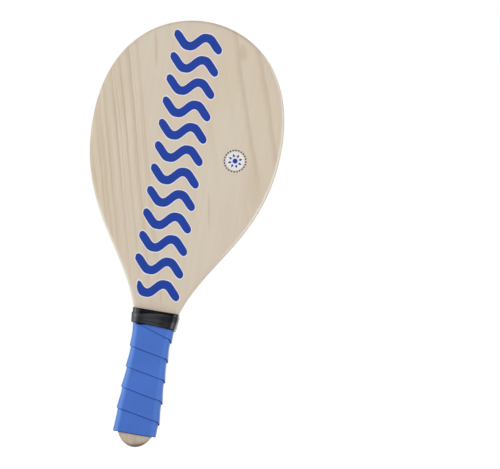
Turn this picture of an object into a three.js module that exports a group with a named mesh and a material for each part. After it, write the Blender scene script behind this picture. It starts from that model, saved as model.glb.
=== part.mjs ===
// A frescobol racket: a pear-shaped bat of five-ply pine, two pine cheeks glued on its handle, a soft
// grip tape wound up the handle, and a black finishing tape over the top end of the grip.
// Millimetres. X runs across the racket, +Z up from the butt to the crown, and the front faces -Y.
// Heights are counted from the butt's lowest point. The finished racket is lowered by the hand's
// height, so that the origin lies in the middle of the handle, where the hand holds it.

import * as THREE from "three";

// Bat outline
const batLength = 450;
const headWidth = 201;
const widestHeight = 330.5;
const waistWidth = 35;
const waistHeight = 102;
const heelWidth = 39.8;
const heelHeight = 24;
const handHeight = 70;

// How far each curve of the outline keeps the direction of its end, as shares of its rise or run
const buttShare = 0.5523;
const handleShare = 0.4;
const neckShare = 0.39;
const bellyShare = 0.491;
const crownRiseShare = 0.7245;
const crownRunShare = 0.457;

// Plywood and cheeks
const veneerThickness = 2;
const veneersEachSide = 2;
const bladeEdgeRadius = 4;
const edgeBlendLength = 14;
const cheekThickness = 4.5;
const cheekTop = 137;
const cheekEndStep = 1;
const cheekChamferLength = 4;
const handleCornerRadius = 5;

// Clearances of the tapes to what they lie on, and of each turn to the turn under it
const seatClearance = 0.3;
const lapClearance = 0.5;

// Grip tape
const gripBottom = 12.8;
const gripTop = 130.5;
const gripTapeWidth = 26.5;
const gripStartWidth = 6;
const gripTapeThickness = 1.5;
const gripPressedThickness = 0.6;
const gripPressedFrom = 124;
const gripPressedTo = 126;
const gripPitch = 21.75;
const gripFirstLift = 2.8;
const gripFinalDip = 3;
const gripFinalClimb = 26;
const gripStraightBelow = 21;
const lapMargin = 0.5;
const lapRampLength = 1.5;
const leastTapeStep = 0.4;

// Finishing tape
const bandBottom = 127.2;
const bandWidth = 15;
const bandThickness = 0.3;
const bandCornerRadius = 5.5;
const bandSlip = 3.5;
const bandSideTilt = 1;
const bandFrontTilt = 2.7;

// Where the tapes change their layer or their slope, as shares of a turn
const layerStartShare = 0.86;
const layerEndShare = 0.96;
const firstLiftShare = 0.6;
const dipStartShare = 0.1;
const dipEndShare = 0.6;
const climbStartShare = 0.6;
const fullGripTurns = 5;

// How finely curves are cut
const buttCuts = 8;
const handleCuts = 5;
const bellyCuts = 14;
const crownCuts = 16;
const edgeCuts = 4;
const cornerCuts = 4;
const wideFaceCuts = 3;
const narrowFaceCuts = 1;
const lastTurnStationCount = 19;
const bandStationCount = 47;
const bandStartCount = 7;

const headHalf = headWidth / 2;
const waistHalf = waistWidth / 2;
const heelHalf = heelWidth / 2;
const bladeHalf = veneerThickness * (veneersEachSide + 1 / 2);
const handleHalf = bladeHalf + cheekThickness;
const bandTop = bandBottom + bandWidth;

// Finishes
const facePine = new THREE.MeshStandardMaterial({ color: 0xd9cab2, roughness: 0.62, metalness: 0 });
const crossPine = new THREE.MeshStandardMaterial({ color: 0xc2a982, roughness: 0.75, metalness: 0 });
const cheekPine = new THREE.MeshStandardMaterial({ color: 0xcdbb9d, roughness: 0.68, metalness: 0 });
const blueFoam = new THREE.MeshStandardMaterial({ color: 0x4a78c8, roughness: 0.6, metalness: 0 });
const blackVinyl = new THREE.MeshStandardMaterial({ color: 0x222427, roughness: 0.3, metalness: 0 });

// One curve of the outline, between two places, with the places that steer it.
function curveThrough(...places) {
  const [start, startSteer, endSteer, end] = places.map(([across, height]) => new THREE.Vector2(across, height));
  return new THREE.CubicBezierCurve(start, startSteer, endSteer, end);
}

// The right half of the bat's outline: the round butt, the waisted handle, the belly and the crown.
function rightHalfPoints() {
  const handleRise = waistHeight - heelHeight;
  const bellyRise = widestHeight - waistHeight;
  const crownRise = batLength - widestHeight;
  const butt = curveThrough(
    [0, 0],
    [heelHalf * buttShare, 0],
    [heelHalf, heelHeight * (1 - buttShare)],
    [heelHalf, heelHeight],
  );
  const handle = curveThrough(
    [heelHalf, heelHeight],
    [heelHalf, heelHeight + handleRise * handleShare],
    [waistHalf, waistHeight - handleRise * handleShare],
    [waistHalf, waistHeight],
  );
  const belly = curveThrough(
    [waistHalf, waistHeight],
    [waistHalf, waistHeight + bellyRise * neckShare],
    [headHalf, widestHeight - bellyRise * bellyShare],
    [headHalf, widestHeight],
  );
  const crown = curveThrough(
    [headHalf, widestHeight],
    [headHalf, widestHeight + crownRise * crownRiseShare],
    [headHalf * crownRunShare, batLength],
    [0, batLength],
  );
  return [
    ...butt.getPoints(buttCuts).slice(0, -1),
    ...handle.getPoints(handleCuts).slice(0, -1),
    ...belly.getPoints(bellyCuts).slice(0, -1),
    ...crown.getPoints(crownCuts),
  ];
}

// The whole outline, from the butt up the right side and down the left, each place with its outward way.
function cutOutline() {
  const right = rightHalfPoints();
  const left = right.slice(1, -1).reverse();
  const places = [...right, ...left.map(({ x, y }) => new THREE.Vector2(-x, y))];
  return places.map((at, i) => {
    const before = places.at(i - 1);
    const after = places[(i + 1) % places.length];
    const out = new THREE.Vector2(after.y - before.y, before.x - after.x).normalize();
    return { at, out };
  });
}

const outline = cutOutline();
const rightSide = outline.slice(0, outline.length / 2 + 1);

// The place on the right side at a height, between the cut places below and above it.
function rightSideAt(height) {
  const i = Math.max(1, rightSide.findIndex(({ at }) => at.y >= height));
  const low = rightSide[i - 1];
  const high = rightSide[i];
  const share = (height - low.at.y) / (high.at.y - low.at.y);
  return { at: low.at.clone().lerp(high.at, share), out: low.out.clone().lerp(high.out, share) };
}

const halfWidthAt = (height) => rightSideAt(height).at.x;

// How far a rounded edge lies inside the outline, at a depth from the middle plane.
function roundedInset(depth, half, radius) {
  const into = Math.min(Math.max(depth - (half - radius), 0), radius);
  return radius - Math.sqrt(radius * radius - into * into);
}

// The handle's edges are rounded as one thick bar. Above the cheeks the blade has its own round edge.
function edgeInset(depth, height) {
  const bladeShare = THREE.MathUtils.smoothstep(height, cheekTop, cheekTop + edgeBlendLength);
  const onHandle = roundedInset(depth, handleHalf, handleCornerRadius);
  const onBlade = roundedInset(depth, bladeHalf, bladeEdgeRadius);
  return THREE.MathUtils.lerp(onHandle, onBlade, bladeShare);
}

// A place of the outline drawn in by the rounding at its depth.
function roundedPlace({ at, out }, depth) {
  const inset = edgeInset(depth, at.y);
  return new THREE.Vector2(at.x - out.x * inset, at.y - out.y * inset);
}

// Depths from one to another that cut a rounded edge at even angles.
function depthCuts(from, to, half, radius) {
  const room = (to - from) / (2 * edgeCuts);
  const onRound = [];
  for (let i = 0; i < edgeCuts; i++) {
    const depth = half - radius + radius * Math.sin((i / edgeCuts) * (Math.PI / 2));
    onRound.push(-depth, depth);
  }
  const inside = onRound.filter((depth) => depth > from + room && depth < to - room);
  return [from, ...inside.sort((a, b) => a - b), to];
}

// The faces of a flat lid on a loop, turning the same way as the loop.
function lidFaces(loop) {
  const loopTurn = Math.sign(THREE.ShapeUtils.area(loop));
  return THREE.ShapeUtils.triangulateShape(loop, []).map(([a, b, c]) => {
    const faceTurn = Math.sign(THREE.ShapeUtils.area([loop[a], loop[b], loop[c]]));
    return faceTurn === loopTurn ? [a, b, c] : [a, c, b];
  });
}

// Six times the volume inside the faces, below zero when they face in.
function facedVolume(points, faces) {
  const cross = new THREE.Vector3();
  return faces.reduce((sum, [a, b, c]) => sum + points[a].dot(cross.crossVectors(points[b], points[c])), 0);
}

// The faces of a lid on a strip's section, whose far side runs back beside its near side.
function stripLidFaces(count) {
  const faces = [];
  for (let i = 0; i + 1 < count / 2; i++) {
    faces.push([i, i + 1, count - 2 - i], [i, count - 2 - i, count - 1 - i]);
  }
  return faces;
}

// A closed solid through loops of points, with a lid on the first loop and on the last.
function solidThrough(loops, firstLid, lastLid) {
  const count = loops[0].length;
  const last = (loops.length - 1) * count;
  const points = loops.flat();
  const faces = firstLid.map(([a, b, c]) => [a, c, b]);
  faces.push(...lastLid.map((corners) => corners.map((k) => last + k)));
  for (let start = 0; start < last; start += count) {
    for (let i = 0; i < count; i++) {
      const a = start + i;
      const b = start + ((i + 1) % count);
      faces.push([a, b, b + count], [a, b + count, a + count]);
    }
  }
  const outward = facedVolume(points, faces) > 0 ? faces : faces.map(([a, b, c]) => [a, c, b]);
  const geometry = new THREE.BufferGeometry().setFromPoints(points);
  geometry.setIndex(outward.flat());
  geometry.computeVertexNormals();
  return geometry;
}

function named(name, geometry, material) {
  const mesh = new THREE.Mesh(geometry, material);
  mesh.name = name;
  return mesh;
}

// A slab of wood from one depth to another, whose loops are the same places at each depth.
function woodBetween(depths, placesAt) {
  const flats = depths.map(placesAt);
  const loops = flats.map((flat, i) => flat.map(({ x, y }) => new THREE.Vector3(x, depths[i], y)));
  return solidThrough(loops, lidFaces(flats[0]), lidFaces(flats.at(-1)));
}

// One of the bat's plies, counted from the core towards the back.
function ply(number) {
  const from = (number - 1 / 2) * veneerThickness;
  const depths = depthCuts(from, from + veneerThickness, bladeHalf, bladeEdgeRadius);
  return woodBetween(depths, (depth) => outline.map((place) => roundedPlace(place, Math.abs(depth))));
}

// A cheek has the handle's outline, rounded outer edges and a sloped top end.
function cheek(side) {
  const shoulder = cheekTop - cheekChamferLength;
  const belowShoulder = rightSide.filter(({ at }) => at.y < shoulder - cheekEndStep);
  const placesAt = (signedDepth) => {
    const depth = Math.abs(signedDepth);
    const slopeShare = Math.max(0, (depth - bladeHalf - cheekEndStep) / (cheekThickness - cheekEndStep));
    const top = cheekTop - cheekChamferLength * slopeShare;
    const right = [...belowShoulder, rightSideAt(top)].map((place) => roundedPlace(place, depth));
    const left = right.slice(1).reverse();
    return [...right, ...left.map(({ x, y }) => new THREE.Vector2(-x, y))];
  };
  const depths = depthCuts(bladeHalf, handleHalf, handleHalf, handleCornerRadius);
  return woodBetween(depths.map((depth) => depth * side), placesAt);
}

// The handle's corners in winding order. The tapes run clockwise seen from above, so that their laps
// climb to the left in front: left back, right back, right front and left front.
const corners = [
  { side: -1, face: 1, startAngle: Math.PI },
  { side: 1, face: 1, startAngle: Math.PI / 2 },
  { side: 1, face: -1, startAngle: 0 },
  { side: -1, face: -1, startAngle: -Math.PI / 2 },
];

// A core is the rounded bar that a tape lies on: its half-width, half-depth and corner radius at a height.
const handleCore = (height) => ({
  halfWidth: halfWidthAt(Math.max(height, gripStraightBelow)) + seatClearance,
  halfDepth: handleHalf + seatClearance,
  radius: handleCornerRadius + seatClearance,
});

// The band bridges from the thickest lap under its lower edge to the bat's shoulders at its upper edge.
// Its girth stays the same, so that it is narrower in depth where it is wider.
function bandCore(height) {
  const underBand = 2 * (seatClearance + gripPressedThickness) + lapClearance;
  const lowHalf = halfWidthAt(bandBottom) + underBand;
  const highHalf = halfWidthAt(bandTop) + seatClearance;
  const share = (height - bandBottom) / bandWidth;
  const widening = (highHalf - lowHalf) * share;
  return {
    halfWidth: lowHalf + widening,
    halfDepth: handleHalf + underBand - widening,
    radius: bandCornerRadius,
  };
}

// The place beside a core at a station, a height and an offset from its surface.
function placeAround({ from, to, share, angle }, core, height, offset) {
  const { halfWidth, halfDepth, radius } = core(height);
  const across = THREE.MathUtils.lerp(from.side, to.side, share) * (halfWidth - radius);
  const through = THREE.MathUtils.lerp(from.face, to.face, share) * (halfDepth - radius);
  const reach = radius + offset;
  return new THREE.Vector3(across + reach * Math.cos(angle), through + reach * Math.sin(angle), height);
}

// The stations of one turn, each with the share of the turn that lies before it.
function turnStations() {
  const stations = [{ from: corners.at(-1), to: corners.at(-1), share: 0, angle: -Math.PI }];
  corners.forEach((corner, i) => {
    const lastCorner = i === corners.length - 1;
    for (let k = 0; k < cornerCuts + (lastCorner ? 0 : 1); k++) {
      const angle = corner.startAngle - (k / cornerCuts) * (Math.PI / 2);
      stations.push({ from: corner, to: corner, share: 0, angle });
    }
    const faceCuts = i % 2 === 0 ? wideFaceCuts : narrowFaceCuts;
    for (let k = 1; k < faceCuts && !lastCorner; k++) {
      const angle = corner.startAngle - Math.PI / 2;
      stations.push({ from: corner, to: corners[i + 1], share: k / faceCuts, angle });
    }
  });
  const places = stations.map((station) => placeAround(station, handleCore, waistHeight, 0));
  const steps = places.map((place, i) => place.distanceTo(places[(i + 1) % places.length]));
  const girth = steps.reduce((sum, step) => sum + step, 0);
  let passed = 0;
  steps.forEach((step, i) => {
    stations[i].passed = passed / girth;
    passed += step;
  });
  return stations;
}

const stations = turnStations();
const perTurn = stations.length;

// How many turns have passed at a station that is counted on over the turns.
const turnsAt = (number) => Math.floor(number / perTurn) + stations[number % perTurn].passed;

// 0 on the first turn of a tape and 1 from the second on, changing just before the tape meets its start.
function layerAt(turn) {
  return THREE.MathUtils.clamp((turn - layerStartShare) / (layerEndShare - layerStartShare), 0, 1);
}

// A tape wound from one station on, through the section that it has at each: offset and height pairs.
function wind(startStation, stationCount, core, sectionAt) {
  const loops = [];
  for (let i = 0; i < stationCount; i++) {
    const number = startStation + i;
    const station = stations[number % perTurn];
    const section = sectionAt(turnsAt(number) - turnsAt(startStation), station);
    loops.push(section.map(([offset, height]) => placeAround(station, core, height, offset)));
  }
  const lid = stripLidFaces(loops[0].length);
  return { loops, geometry: solidThrough(loops, lid, lid) };
}

// The grip tape's lower edge: level for one turn, then climbing, with a steeper lap at the end.
function gripLowerEdge(turn) {
  if (turn <= 1) return gripBottom;
  const smooth = THREE.MathUtils.smoothstep;
  const lift = gripFirstLift * smooth(turn, 1, 1 + firstLiftShare);
  const dip = gripFinalDip * smooth(turn, fullGripTurns + dipStartShare, fullGripTurns + dipEndShare);
  const climb = gripFinalClimb * Math.max(0, turn - fullGripTurns - climbStartShare);
  return gripBottom + gripPitch * (turn - 1) + lift - dip + climb;
}

// Its upper edge: cut slantwise on the first turn, parallel to the lower one, and level at the top.
function gripUpperEdge(turn) {
  const width = THREE.MathUtils.lerp(gripStartWidth, gripTapeWidth, Math.min(turn, 1));
  return Math.min(gripLowerEdge(turn) + width, gripTop);
}

// The foam is pressed flat under the finishing tape.
function gripThicknessAt(height) {
  const pressedShare = THREE.MathUtils.smoothstep(height, gripPressedFrom, gripPressedTo);
  return THREE.MathUtils.lerp(gripTapeThickness, gripPressedThickness, pressedShare);
}

// The grip tape's section: its lower part lies on the turn below, its upper part on the handle.
function gripSection(turn) {
  const lower = gripLowerEdge(turn);
  const upper = gripUpperEdge(turn);
  const upperBelow = Math.max(lower, gripUpperEdge(Math.max(turn - 1, 0)));
  const lapEnd = Math.min(upperBelow + lapMargin, upper - 3 * leastTapeStep);
  const rampEnd = Math.min(lapEnd + lapRampLength, upper - 2 * leastTapeStep);
  const nextLap = THREE.MathUtils.clamp(
    gripLowerEdge(turn + 1) - lapMargin,
    rampEnd + leastTapeStep,
    upper - leastTapeStep,
  );
  const inner = [lower, lapEnd, rampEnd, nextLap, upper].map((height, i) => {
    const thicknessBelow = gripThicknessAt(Math.min(height, upperBelow));
    const lifted = i < 2 ? layerAt(turn) * (thicknessBelow + lapClearance) : 0;
    return [lifted, height];
  });
  const outer = inner.map(([offset, height]) => [offset + gripThicknessAt(height), height]);
  return [...inner, ...outer.reverse()];
}

// The finishing tape's section: the second turn lies on the first and has slipped down a little, askew.
function bandSection(turn, station) {
  const layer = layerAt(turn);
  const { halfWidth, halfDepth } = bandCore(bandBottom);
  const place = placeAround(station, bandCore, bandBottom, 0);
  const slip = bandSlip - (bandSideTilt * place.x) / halfWidth + (bandFrontTilt * place.y) / halfDepth;
  const lower = bandBottom - layer * slip;
  const inner = layer * (bandThickness + lapClearance);
  const outer = inner + bandThickness;
  return [[inner, lower], [inner, lower + bandWidth], [outer, lower + bandWidth], [outer, lower]];
}

// The least distance from one loop's corners to another loop's sides.
function gapBetween(loop, other) {
  const nearest = new THREE.Vector3();
  const sides = other.map((corner, i) => new THREE.Line3(corner, other[(i + 1) % other.length]));
  const gaps = loop.flatMap((corner) =>
    sides.map((side) => side.closestPointToPoint(corner, true, nearest).distanceTo(corner)),
  );
  return Math.min(...gaps);
}

// The least gap of a tape to itself, taken on its loops and halfway between them.
function leastGap(loops) {
  const halfway = loops.slice(1).map((loop, i) => loop.map((at, k) => at.clone().lerp(loops[i][k], 1 / 2)));
  const gaps = [loops, halfway].flatMap((set) =>
    set.slice(perTurn).flatMap((above, i) => [gapBetween(above, set[i]), gapBetween(set[i], above)]),
  );
  return Math.min(...gaps);
}

const gripStationCount = fullGripTurns * perTurn + lastTurnStationCount;
const grip = wind(0, gripStationCount, handleCore, gripSection);
const band = wind(bandStartCount, bandStationCount, bandCore, bandSection);
console.log(`Least gap of the grip tape to itself: ${leastGap(grip.loops).toFixed(2)} mm`);
console.log(`Least gap of the finishing tape to itself: ${leastGap(band.loops).toFixed(2)} mm`);

const racket = new THREE.Group();
racket.add(
  named("face_veneer_front", ply(-2), facePine),
  named("crossband_front", ply(-1), crossPine),
  named("core_veneer", ply(0), facePine),
  named("crossband_back", ply(1), crossPine),
  named("face_veneer_back", ply(2), facePine),
  named("handle_cheek_front", cheek(-1), cheekPine),
  named("handle_cheek_back", cheek(1), cheekPine),
  named("grip_tape", grip.geometry, blueFoam),
  named("finishing_tape", band.geometry, blackVinyl),
);
racket.position.z = -handHeight;

const model = new THREE.Group();
model.add(racket);

export default model;
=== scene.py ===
"""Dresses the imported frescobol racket: a pear-shaped bat of five pine plies with two cheeks on its
handle, a foam grip tape, a black finishing tape and a blue print, on a pale studio floor.

Metres. X runs across the racket, +Z up to the crown, and the front faces -Y. The origin is in the
hand, as in the frame. Shapes count heights from the butt's lowest point, and finishes from the origin.
"""

import math
from bisect import bisect_left
from typing import NamedTuple

import bmesh
import bpy
from mathutils import Matrix, Vector, noise
from mathutils.geometry import interpolate_bezier


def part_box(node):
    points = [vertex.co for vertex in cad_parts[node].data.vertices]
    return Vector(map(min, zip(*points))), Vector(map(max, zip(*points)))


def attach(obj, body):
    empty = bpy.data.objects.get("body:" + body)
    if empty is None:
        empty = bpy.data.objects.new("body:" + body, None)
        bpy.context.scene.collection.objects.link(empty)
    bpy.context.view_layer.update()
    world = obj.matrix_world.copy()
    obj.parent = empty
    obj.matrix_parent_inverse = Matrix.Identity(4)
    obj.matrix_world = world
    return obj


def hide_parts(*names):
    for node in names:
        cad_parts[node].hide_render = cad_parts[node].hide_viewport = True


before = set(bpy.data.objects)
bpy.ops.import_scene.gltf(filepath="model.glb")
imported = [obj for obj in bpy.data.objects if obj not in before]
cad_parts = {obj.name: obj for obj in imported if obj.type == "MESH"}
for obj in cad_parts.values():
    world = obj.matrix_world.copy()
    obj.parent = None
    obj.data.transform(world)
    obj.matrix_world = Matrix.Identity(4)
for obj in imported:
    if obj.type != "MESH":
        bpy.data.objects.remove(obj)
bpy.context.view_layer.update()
BLADE_LOW, BLADE_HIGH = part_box("core_veneer")

bl_info = {
    "name": "Frescobol Racket",
    "version": (1, 0, 0),
    "blender": (4, 5, 0),
    "location": "3D View > Sidebar > Racket",
    "description": "Builds a frescobol racket of plywood with a wound grip",
    "category": "Add Mesh",
}

MM = 0.001


def length(name, description, default):
    """A length that the user can change, in metres."""
    return bpy.props.FloatProperty(
        name=name, description=description, default=default, min=0.0, unit="LENGTH", precision=4
    )


def paint(name, description, red, green, blue):
    """A colour that the user can change, given in the steps of 255 that a colour picker shows."""
    return bpy.props.FloatVectorProperty(
        name=name,
        description=description,
        subtype="COLOR",
        default=tuple(to_linear(step / 255) for step in (red, green, blue)),
        min=0.0,
        max=1.0,
    )


def to_linear(level):
    """One channel of a screen colour as light."""
    return level / 12.92 if level <= 0.04045 else ((level + 0.055) / 1.055) ** 2.4


class RacketSizes(bpy.types.PropertyGroup):
    """The racket's lengths."""

    bat_length: length("Length", "From the butt to the crown", BLADE_HIGH.z - BLADE_LOW.z)
    head_width: length("Head width", "Across the widest place", BLADE_HIGH.x - BLADE_LOW.x)
    widest_height: length("Widest height", "Of the widest place above the butt", 330.5 * MM)
    waist_width: length("Waist width", "Across the handle's slimmest place", 35 * MM)
    waist_height: length("Waist height", "Of the slimmest place above the butt", 102 * MM)
    heel_width: length("Heel width", "Across the handle near the butt", 39.8 * MM)
    heel_height: length("Heel height", "Of the heel's widest place", 24 * MM)
    hand_height: length("Hand height", "Of the middle of the grip above the butt", -BLADE_LOW.z)
    ply: length("Ply", "Thickness of one veneer", 2 * MM)
    edge_radius: length("Edge radius", "Of the blade's rounded edge", 4 * MM)
    cheek: length("Cheek", "Thickness of a handle cheek", 4.5 * MM)
    cheek_top: length("Cheek top", "Height of a cheek's upper end", 137 * MM)
    handle_radius: length("Handle radius", "Of the handle's rounded edges", 5 * MM)
    glue_line: length("Glue line", "Depth of the groove between two plies", 0.08 * MM)
    tape_width: length("Tape width", "Of the grip tape", 26.5 * MM)
    tape_thickness: length("Tape thickness", "Of the grip tape", 1.35 * MM)
    tape_pitch: length("Tape pitch", "From one turn of the grip tape to the next", 21.75 * MM)
    tape_bottom: length("Tape bottom", "Height of the grip tape's lower end", 12.8 * MM)
    tape_top: length("Tape top", "Height of the grip tape's upper end", 130.5 * MM)
    tape_edge: length("Tape edge", "Radius of the grip tape's soft edge", 0.8 * MM)
    band_width: length("Band width", "Of the black finishing tape", 15 * MM)
    band_bottom: length("Band bottom", "Height of the black tape's first turn", 127.2 * MM)
    band_thickness: length("Band thickness", "Of the black tape", 0.3 * MM)
    wave_stroke: length("Wave stroke", "Width of a printed wave line", 9 * MM)
    wave_spacing: length("Wave spacing", "From one printed wave to the next", 23.8 * MM)
    wave_rise: length("Wave rise", "From a wave's middle to its crest", 5.6 * MM)
    wave_length: length("Wave length", "From crest to crest", 35.3 * MM)
    print_margin: length("Print margin", "From the bat's outline to the ink", 6.5 * MM)
    mark_radius: length("Mark radius", "Of the small round mark", 12 * MM)


class RacketColours(bpy.types.PropertyGroup):
    """The racket's colours."""

    pine: paint("Pine", "Plain early wood of the face", 213, 201, 182)
    pine_pink: paint("Pink pine", "Warm patches of the face", 213, 197, 179)
    pine_gold: paint("Golden pine", "Yellowish patches of the face", 211, 197, 172)
    late_wood: paint("Late wood", "Dark lines of the grain", 184, 158, 130)
    end_grain: paint("End grain", "Edge of the cross plies", 222, 210, 190)
    # Laid on the rim only where the light falls, so this pale colour is partly a painted highlight
    sanded: paint("Sanded rim", "Rounded rim of the face, sanded pale", 240, 233, 220)
    cheek_wood: paint("Cheek wood", "Bare wood of the butt", 192, 182, 165)
    foam: paint("Grip foam", "The grip tape", 65, 110, 198)
    # Painted highlight on the grip tape's corners, stronger on the left
    foam_corner_highlight: paint("Stretched foam", "Paler where the grip tape turns a corner", 112, 166, 240)
    # Painted shade on the grip tape's cut edges that face down
    lap_edge_shade: paint("Cut foam", "Cut edge of the grip tape", 8, 46, 124)
    vinyl: paint("Black vinyl", "The finishing tape", 10, 13, 20)
    # Painted highlight on the finishing tape's left corner
    vinyl_corner_highlight: paint("Stretched vinyl", "Paler finishing tape at the left corner", 74, 75, 78)
    ink: paint("Blue ink", "The printed waves", 12, 56, 153)
    mark_ink: paint("Dark ink", "The ring of the round mark", 30, 38, 74)
    primer: paint("Primer", "The pale film under the ink", 231, 228, 225)
    floor: paint("Floor", "The studio floor", 252, 252, 252)


def progress(value, start, end):
    """How far a value has come from start to end: 0 before it, 1 after it."""
    return min(max((value - start) / (end - start), 0.0), 1.0)


def smooth(value, start, end):
    """0 below start, 1 above end, and an even curve between."""
    share = progress(value, start, end)
    return share * share * (3 - 2 * share)


def mix(start, end, share):
    """The value at that share of the way from start to end."""
    return start + (end - start) * share


# Meshes


# How far inside its edge a ply's lid starts
PLY_RIM = 6 * MM
# A cheek's top end: its upright step on the blade, how far it slopes down, and its lid's share of the face
CHEEK_STEP, CHEEK_SLOPE, CHEEK_LID = 1 * MM, 4 * MM, 0.97


def as_piece(name, points, faces, sharp=40.0):
    """A linked object of points and faces, its faces turned outward. It is smooth but for the edges that
    turn by more than so many degrees.
    """
    mesh = bpy.data.meshes.new(name)
    mesh.from_pydata([tuple(point) for point in points], [], faces)
    shell = bmesh.new()
    shell.from_mesh(mesh)
    bmesh.ops.recalc_face_normals(shell, faces=shell.faces)
    shell.to_mesh(mesh)
    shell.free()
    mesh.shade_smooth()
    mesh.set_sharp_from_angle(angle=math.radians(sharp))
    piece = bpy.data.objects.new(name, mesh)
    bpy.context.scene.collection.objects.link(piece)
    return piece


def walls(first, last, count):
    """Faces from each loop of so many points to the next, up to the loop that begins at last."""
    faces = []
    for row in range(first, last, count):
        for i in range(count):
            a, b = row + i, row + (i + 1) % count
            faces.append((a, b, b + count, a + count))
    return faces


def shell_piece(name, shells):
    """A piece of closed shells, each through loops of points with a lid at both ends."""
    points, faces = [], []
    for loops in shells:
        first, count = len(points), len(loops[0])
        points += [point for loop in loops for point in loop]
        last = len(points) - count
        faces += walls(first, last, count)
        faces.append(tuple(reversed(range(first, first + count))))
        faces.append(tuple(range(last, last + count)))
    return as_piece(name, points, faces)


def dress(piece, material, slot, *nodes):
    """Gives a piece its material, lets it ride on the racket and stand for its CAD nodes. The slot is not
    used.
    """
    piece.data.materials.clear()
    piece.data.materials.append(material)
    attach(piece, "root")
    if nodes:
        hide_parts(*nodes)


def side_leg(low, low_up, high, high_up, low_share, high_share):
    """The four corners of a curve up the bat's side that is upright at both ends."""
    rise = high_up - low_up
    return (
        (low, low_up),
        (low, low_up + rise * low_share),
        (high, high_up - rise * high_share),
        (high, high_up),
    )


class Outline:
    """The bat's outline, with the widths that the tapes and the print need from it."""

    BUTT_SHARE, HANDLE_SHARE, NECK_SHARE, BELLY_SHARE = 0.5523, 0.4, 0.39, 0.491
    CROWN_RISE_SHARE, CROWN_RUN_SHARE = 0.7245, 0.457
    CUTS = (16, 26, 56, 64)
    ROUNDING_BLEND = 14 * MM

    def __init__(self, sizes):
        self.sizes = sizes
        self.blade_half = 2.5 * sizes.ply
        self.handle_half = self.blade_half + sizes.cheek
        heel, waist, head = sizes.heel_width / 2, sizes.waist_width / 2, sizes.head_width / 2
        heel_up, waist_up, widest = sizes.heel_height, sizes.waist_height, sizes.widest_height
        top = sizes.bat_length
        crown_up = widest + (top - widest) * self.CROWN_RISE_SHARE
        legs = (
            ((0, 0), (heel * self.BUTT_SHARE, 0), (heel, heel_up * (1 - self.BUTT_SHARE)), (heel, heel_up)),
            side_leg(heel, heel_up, waist, waist_up, self.HANDLE_SHARE, self.HANDLE_SHARE),
            side_leg(waist, waist_up, head, widest, self.NECK_SHARE, self.BELLY_SHARE),
            ((head, widest), (head, crown_up), (head * self.CROWN_RUN_SHARE, top), (0, top)),
        )
        self.right = []
        for leg, cuts in zip(legs, self.CUTS):
            corners = [Vector((across, height, 0)) for across, height in leg]
            self.right += [point.to_2d() for point in interpolate_bezier(*corners, cuts + 1)][:-1]
        self.right.append(Vector((0, top)))
        self.heights = [point.y for point in self.right]
        self.places = self.right + [Vector((-point.x, point.y)) for point in reversed(self.right[1:-1])]
        count = len(self.places)
        steps = [self.places[(i + 1) % count] - self.places[i - 1] for i in range(count)]
        self.outward = [Vector((step.y, -step.x)).normalized() for step in steps]

    def half_width(self, height):
        """Half the bat's width at a height."""
        i = bisect_left(self.heights, height, 1, len(self.heights) - 1)
        below, above = self.right[i - 1], self.right[i]
        return mix(below.x, above.x, progress(height, below.y, above.y))

    def inset(self, depth, height):
        """How far the rounded edge lies inside the outline, at a depth from the middle plane."""
        sizes = self.sizes
        blend = smooth(height, sizes.cheek_top, sizes.cheek_top + self.ROUNDING_BLEND)
        on_handle = rounded(depth, self.handle_half, sizes.handle_radius)
        on_blade = rounded(depth, self.blade_half, sizes.edge_radius)
        return mix(on_handle, on_blade, blend)

    def loop(self, depth, further_in=0.0):
        """The outline's points at a depth, drawn in by its rounding, in the frame."""
        points = []
        for place, out in zip(self.places, self.outward):
            drawn = place - out * (self.inset(abs(depth), place.y) + further_in)
            points.append(Vector((drawn.x, depth, drawn.y - self.sizes.hand_height)))
        return points


def rounded(depth, half, radius):
    """The inset of a rounded edge at a depth."""
    into = min(max(depth - (half - radius), 0.0), radius)
    return radius - math.sqrt(radius * radius - into * into)


def round_depths(start, end, half, radius, cuts=10):
    """Depths from start up to end that cut the front and back rounding at even angles."""
    back = [half - radius + radius * math.sin(i / cuts * math.pi / 2) for i in range(cuts + 1)]
    room = (end - start) / (4 * cuts)
    depths = sorted(back + [-depth for depth in back])
    return [start, *(depth for depth in depths if start + room < depth < end - room), end]


def ply_mesh(name, outline, number):
    """One ply, counted from the core towards the back, with a fine groove along its glue lines."""
    sizes = outline.sizes
    front = (number - 0.5) * sizes.ply
    front, *between, back = round_depths(front, front + sizes.ply, outline.blade_half, sizes.edge_radius)
    groove = sizes.glue_line
    loops = [outline.loop(front, PLY_RIM)]
    if number > -2:
        loops += [outline.loop(front, groove), outline.loop(front + groove)]
    else:
        loops.append(outline.loop(front))
    loops += [outline.loop(depth) for depth in between]
    if number < 2:
        loops += [outline.loop(back - groove), outline.loop(back, groove)]
    else:
        loops.append(outline.loop(back))
    loops.append(outline.loop(back, PLY_RIM))
    return shell_piece(name, [loops])


def cheek_mesh(name, outline, side):
    """A handle cheek: the handle's outline with rounded outer edges and a sloped top end."""
    sizes = outline.sizes
    inner, outer = outline.blade_half, outline.handle_half
    shoulder = sizes.cheek_top - CHEEK_SLOPE
    sides = zip(outline.right, outline.outward)
    kept = [(place, out) for place, out in sides if place.y < shoulder - CHEEK_STEP]
    loops = []
    for depth in round_depths(inner, outer, outer, sizes.handle_radius):
        drop = max(0.0, (depth - inner - CHEEK_STEP) / (sizes.cheek - CHEEK_STEP))
        top = sizes.cheek_top - CHEEK_SLOPE * drop
        ends = kept + [(Vector((outline.half_width(top), top)), Vector((1, 0)))]
        half = [place - out * outline.inset(depth, place.y) for place, out in ends]
        points = half + [Vector((-point.x, point.y)) for point in reversed(half[1:])]
        loops.append([Vector((point.x, depth * side, point.y - sizes.hand_height)) for point in points])
    middle = sum(loops[-1], Vector()) / len(loops[-1])
    loops.append([middle + (point - middle) * CHEEK_LID for point in loops[-1]])
    return shell_piece(name, [loops])


# The tapes


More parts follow.
